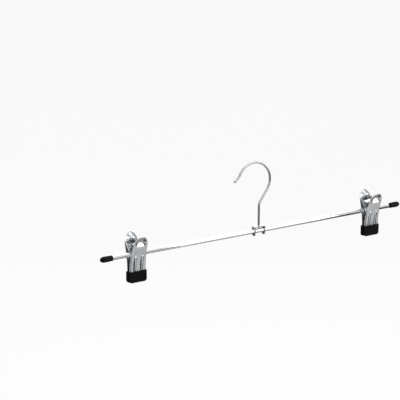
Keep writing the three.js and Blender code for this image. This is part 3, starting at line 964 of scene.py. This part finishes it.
@dataclass
class Sleeve:
    """The vinyl sleeve dipped on a jaw: a pocket with round edges, flat where it grips."""

    plate: ClipPlate
    front_radius: float = 0.65
    grip_radius: float = 0.3
    edge: float = 0.12
    corner_steps: int = 10
    front_steps: int = 5
    grip_steps: int = 4

    def build(self) -> Thing:
        """Round a block to the jaw's outline, open its top and give it its wall.

        Returns:
            The sleeve.
        """
        shape = self.plate.shape
        half = shape.jaw_width / 2 + shape.reach
        low, high = -(shape.jaw_bottom + shape.reach), shape.sleeve_top
        front, back = -shape.sleeve_front, -shape.grip
        middle = Vector((0, (front + back) / 2, (low + high) / 2))
        bm = bmesh.new()
        bmesh.ops.create_cube(bm, size=1.0)
        bmesh.ops.scale(bm, verts=bm.verts, vec=(2 * half, back - front, high - low))
        bmesh.ops.translate(bm, verts=bm.verts, vec=middle)
        corners = [edge for edge in bm.edges if all(abs(v.co.z - low) < NEAR for v in edge.verts)
                   and abs(edge.verts[0].co.y - edge.verts[1].co.y) > NEAR]
        round_off(bm, corners, shape.jaw_corner + shape.reach, self.corner_steps)
        for level, radius, steps in ((front, self.front_radius, self.front_steps),
                                     (back, self.grip_radius, self.grip_steps)):
            rim = [edge for edge in bm.edges if all(abs(v.co.y - level) < TINY for v in edge.verts)
                   and not all(abs(v.co.z - high) < TINY for v in edge.verts)
                   and len({round(face.normal.y, 2) for face in edge.link_faces}) > 1]
            round_off(bm, rim, radius, steps)
        lid = [face for face in bm.faces
               if face.normal.z > LEVEL and face.calc_center_median().z > high - NEAR]
        bmesh.ops.delete(bm, geom=lid, context="FACES_ONLY")
        bmesh.ops.recalc_face_normals(bm, faces=bm.faces)
        if sum(face.normal.dot(face.calc_center_median() - middle) for face in bm.faces) < 0:
            bmesh.ops.reverse_faces(bm, faces=bm.faces)
        bmesh.ops.transform(bm, matrix=self.plate.turn(), verts=bm.verts)
        body = f"{self.plate.side}_{self.plate.facing.name.lower()}"
        piece = put_in_scene(bm, f"{body}_sleeve", DIPPED_VINYL, body)
        thicken(piece, shape.sleeve_wall)
        soften(piece, self.edge, angle=50.0)
        return piece


@dataclass
class Spring:
    """The torsion spring: coils round the bar between the ears, a leg to each handle."""

    side: str
    x: float
    shape: PlateShape
    wire: float = 0.7  # radius
    turns: int = 6
    leg_rise: float = 6.0
    bar_radius: float = 2.5
    gap: float = 0.3
    edge: float = 0.12
    facets: int = 20
    turn_steps: int = 32

    def build(self) -> Thing:
        """Grow the wire down one leg, round the bar and up the other leg.

        Returns:
            The spring.
        """
        shape, edge = self.shape, self.edge
        radius = self.bar_radius + self.gap + self.wire
        end = shape.side_half(self.leg_rise) - shape.sheet - shape.ear_shift - self.gap - self.wire
        reach = shape.face_depth(self.leg_rise) - shape.sheet - self.gap - self.wire
        meet = atan2(self.leg_rise, reach) + acos(radius / hypot(reach, self.leg_rise))
        turning = tau * self.turns - (2 * meet - pi)
        start = pi - meet
        first = Vector((self.x - end, -reach, self.leg_rise))
        onto = Vector((self.x - end, radius * cos(start), radius * sin(start)))
        leg = onto - first
        run = WireRun(first, leg, self.wire - edge, self.facets)
        run.straight(edge, self.wire)
        run.straight(leg.length - edge)
        run.bend(X * self.x, X, -turning, self.turn_steps * self.turns, X * (2 * end))
        run.straight(leg.length - edge)
        run.straight(edge, self.wire - edge)
        return put_in_scene(run.finished(), f"{self.side}_spring", SPRING_WIRE,
                            f"{self.side}_back")


@dataclass
class Clip:
    """A clip at its place on the bar: two plates, their sleeves and the spring."""

    side: str
    x: float
    shape: PlateShape

    def members(self) -> list[ClipPlate | Sleeve | Spring]:
        """The clip's five pieces, ready to be built.

        Returns:
            The front plate and its sleeve, the back ones, and the spring.
        """
        plates = [ClipPlate(self.side, self.x, facing, self.shape) for facing in Facing]
        dressed = [member for plate in plates for member in (plate, Sleeve(plate))]
        return [*dressed, Spring(self.side, self.x, self.shape)]


# ------ studio


@dataclass
class Studio:
    """A pale floor, a white surround, soft lamps and the camera at the photograph's angle."""

    floor_z: float = -0.75
    camera_place: tuple = (-0.8992, -1.3231, 0.41965)
    camera_aim: tuple = (-0.0701, 0.0, -0.03085)
    lens: float = 135.81
    world_strength: float = 0.5
    floor_white: float = 0.9
    floor_reach: float = 20.0
    paper_roughness: float = 0.9
    paper_shine: float = 0.1
    paper_tone: float = 0.98  # of its colour, where it is darkest
    card_height: float = 0.01
    sensor: float = 36.0

    def build(self) -> None:
        """Make the floor, the world, the lamps, the grey cards and the camera."""
        self._floor()
        self._world()
        self._lamp("key_softbox", (-1.3, -1.1, 1.4), (1.2, 1.0), 4)
        self._lamp("top_softbox", (0.1, 0.2, 1.6), (1.8, 1.0), 8)
        self._lamp("front_softbox", (0.8, -1.25, 0.4), (1.9, 1.5), 18)
        self._lamp("back_softbox", (0.9, 1.45, 0.55), (1.8, 0.9), 9)
        # painted reflections: grey and dark cards that only the chrome's reflections show
        self._card("card_front", ((0.1, -0.44), (1.0, -0.44), (4.0, -3.2), (0.8, -5.0)), "#DCDCDC")
        self._card("card_low", ((-0.2, -0.43), (1.1, -0.43), (1.1, -0.12), (-0.2, -0.12)), "#DCDCDC")
        self._card("card_under", ((-0.9, -0.11), (1.2, -0.11), (2.6, 1.2), (2.4, 2.8), (-0.9, 0.9)),
                   "#5A5A5A")
        self._card("card_right", ((1.0, -0.5), (4.4, -2.9), (4.5, 2.4), (1.2, 0.5)), "#5A5A5A")
        self._card("card_left", ((0.05, -0.9), (0.4, -5.0), (-4.5, -2.4), (-0.9, -0.45)), "#5A5A5A")
        self._card("card_back", ((-0.3, 1.7), (-1.2, 6.5), (-5.5, 4.0), (-1.5, 1.0)), "#808080")
        self._camera()

    def _seen(self, tree: bpy.types.NodeTree) -> bpy.types.NodeSocket:
        """1 for the rays of the camera and of reflections, 0 for those that light the object."""
        rays = add_node(tree, "LightPath").outputs
        return add_node(tree, "Math", {"0": rays["Is Camera Ray"], "1": rays["Is Glossy Ray"]},
                        operation="ADD", use_clamp=True).outputs[0]

    def _paper(self, name: str, colour: str, white: float = 0.0) -> bpy.types.Material:
        """Matt paper for the floor or a card, with a faint unevenness of tone.

        Args:
            name: the material's name.
            colour: the paper's colour.
            white: the share of plain white that the camera and reflections see in it.

        Returns:
            The new material.
        """
        material = bpy.data.materials.new(name)
        material.use_nodes = True
        tree = material.node_tree
        tree.nodes.clear()
        place = add_node(tree, "TexCoord").outputs["Object"]
        tone = add_node(tree, "TexNoise", {"Vector": place, "Scale": 3.0}).outputs[0]
        light = linear(colour)
        dark = (*(part * self.paper_tone for part in light[:3]), 1.0)
        mixed = add_node(tree, "Mix", {"0": tone, "6": light, "7": dark},
                         data_type="RGBA").outputs[2]
        surface = add_node(tree, "BsdfPrincipled", {
            "Base Color": mixed, "Roughness": self.paper_roughness,
            "Specular IOR Level": self.paper_shine}).outputs[0]
        if white:
            share = add_node(tree, "Math", {"0": self._seen(tree), "1": white},
                             operation="MULTIPLY").outputs[0]
            plain = add_node(tree, "Emission", {
                "Color": linear("#FFFFFF"), "Strength": 1.0})
            surface = add_node(tree, "MixShader", {
                "0": share, "1": surface, "2": plain.outputs[0]}).outputs[0]
        add_node(tree, "OutputMaterial", {"Surface": surface})
        return material

    def _sheet(self, name: str, corners: tuple, height: float,
               paper: bpy.types.Material) -> Thing:
        """Lay a sheet of paper.

        Args:
            name: the sheet's name.
            corners: its corners in X and Y.
            height: its height.
            paper: its material.

        Returns:
            The sheet.
        """
        bm = bmesh.new()
        bmesh.ops.contextual_create(bm, geom=[bm.verts.new((x, y, height)) for x, y in corners])
        bmesh.ops.recalc_face_normals(bm, faces=bm.faces)
        return as_object(bm, name, paper)

    def _floor(self) -> None:
        """A wide white paper floor, well below the hanging object."""
        far = self.floor_reach
        paper = self._paper("white_paper_floor", "#F7F7F7", self.floor_white)
        floor = self._sheet("floor", ((-far, -far), (far, -far), (far, far), (-far, far)),
                            self.floor_z, paper)

    def _world(self) -> None:
        """A white surround: plain light, and pure white where the camera or metal sees it."""
        world = bpy.data.worlds.new("white_surround")
        bpy.context.scene.world = world
        world.use_nodes = True
        tree = world.node_tree
        tree.nodes.clear()
        strength = add_node(tree, "MapRange", {
            "Value": self._seen(tree), "To Min": self.world_strength, "To Max": 1.0}).outputs[0]
        back = add_node(tree, "Background", {
            "Color": linear("#FFFFFF"), "Strength": strength})
        add_node(tree, "OutputWorld", {"Surface": back.outputs[0]})

    def _aimed(self, thing: Thing, place: tuple, aim: tuple = (0.0, 0.0, -0.07)) -> None:
        """Put a lamp or the camera in the scene and point it.

        Args:
            thing: the lamp or camera.
            place: where it stands.
            aim: what it points at.
        """
        bpy.context.scene.collection.objects.link(thing)
        turn = (Vector(aim) - Vector(place)).to_track_quat("-Z", "Y").to_matrix().to_4x4()
        thing.matrix_world = Matrix.Translation(place) @ turn

    def _lamp(self, name: str, place: tuple, size: tuple, watts: float) -> None:
        """A rectangular softbox, which the camera doesn't see.

        Args:
            name: the lamp's name.
            place: where it stands.
            size: its width and height.
            watts: its power.
        """
        lamp = bpy.data.lights.new(name, "AREA")
        lamp.shape, lamp.size, lamp.size_y, lamp.energy = "RECTANGLE", *size, watts
        softbox = bpy.data.objects.new(name, lamp)
        softbox.visible_camera = False
        self._aimed(softbox, place)

    def _card(self, name: str, corners: tuple, colour: str) -> None:
        """A grey card laid on the floor, which only the chrome sees: a painted reflection, hidden
        from the camera, from diffuse light and from shadows.

        Args:
            name: the card's name.
            corners: its corners in X and Y.
            colour: its colour.
        """
        height = self.floor_z + self.card_height
        card = self._sheet(name, corners, height, self._paper(name, colour))
        card.visible_camera = card.visible_diffuse = card.visible_shadow = False

    def _camera(self) -> None:
        """The camera of the photograph."""
        camera = bpy.data.cameras.new("camera")
        camera.lens, camera.sensor_width = self.lens, self.sensor
        eye = bpy.data.objects.new("camera", camera)
        self._aimed(eye, self.camera_place, self.camera_aim)
        bpy.context.scene.camera = eye
        bpy.context.scene.view_settings.view_transform = "Standard"


def main() -> None:
    """Build the hanger piece by piece and report each, then build the studio."""
    logging.basicConfig(level=logging.INFO, format="%(name)s: %(message)s")
    bar, shape = Crossbar(), PlateShape()
    bracket = Bracket(bar)
    members = [bar, Tip(-1, bar), Tip(1, bar), bracket, Hook(bracket)]
    for side, x in CLIP_PLACES:
        members += Clip(side, x, shape).members()
    for member in members:
        piece = member.build()
        LOG.info("%s: %d faces", piece.name, len(piece.data.polygons))
    Studio().build()


if __name__ == "__main__":
    main()
